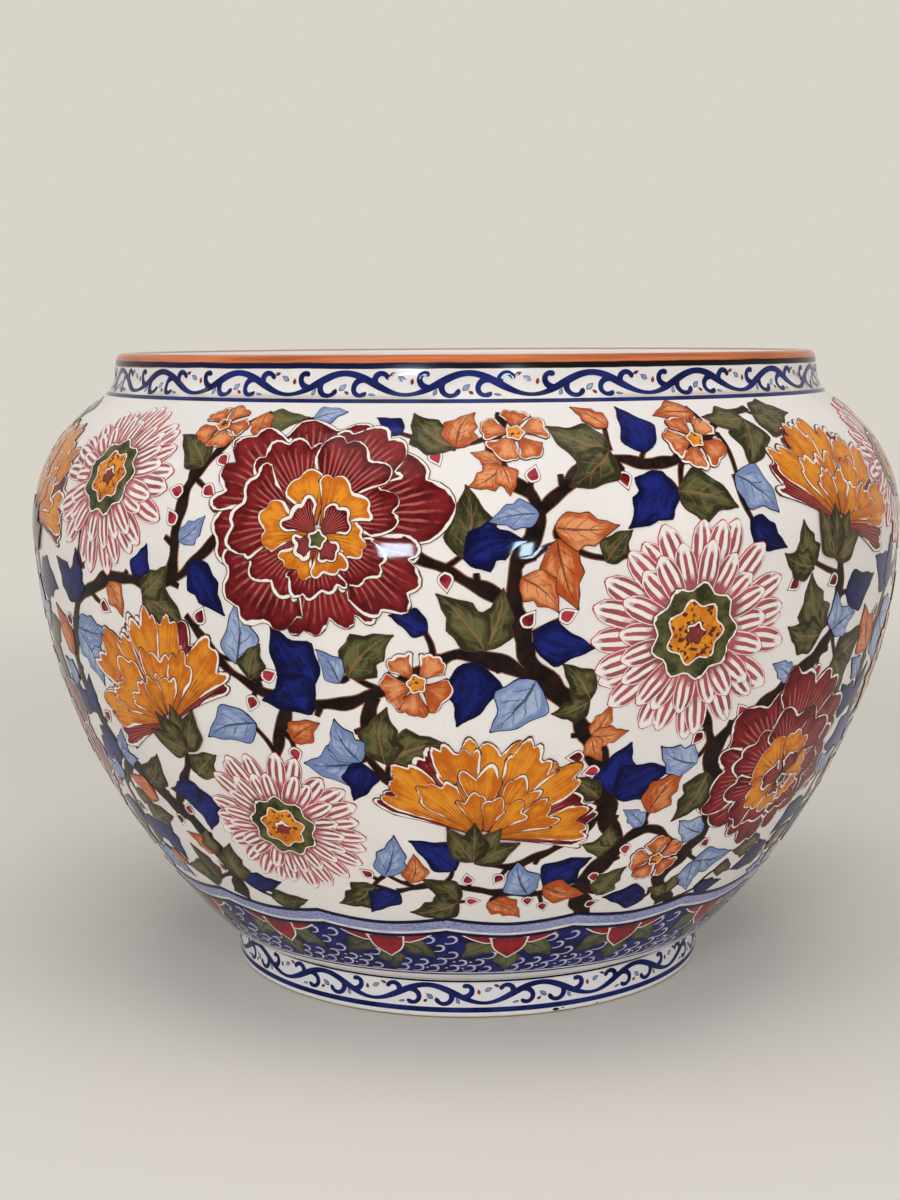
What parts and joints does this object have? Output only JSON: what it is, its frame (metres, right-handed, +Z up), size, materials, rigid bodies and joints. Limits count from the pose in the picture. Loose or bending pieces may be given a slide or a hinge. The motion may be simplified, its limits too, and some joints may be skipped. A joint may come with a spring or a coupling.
{
  "type": "cachepot",
  "caption": "Round-bellied glazed faience cachepot with a wide collared mouth and a foot ring, painted all over with flowers and scroll borders; holds a grow pot inside.",
  "frame": {"origin": "centre of the foot ring's standing face, on the ground", "axes": "+Z up along the axis of the pot; the pot is round, so X and Y are any two level directions"},
  "size_m": [0.421, 0.421, 0.3],
  "materials": {
    "tin_glaze": "glossy, warm white, over buff clay",
    "lip_glaze": "glossy, orange-brown over the lip with a dark band under it"
  },
  "bodies": {
    "root": {"foot_ring": "tin_glaze", "base_floor": "tin_glaze", "lower_wall": "tin_glaze", "shoulder_wall": "tin_glaze", "neck_collar": "tin_glaze", "rim_lip": "lip_glaze"}
  },
  "joints": []
}
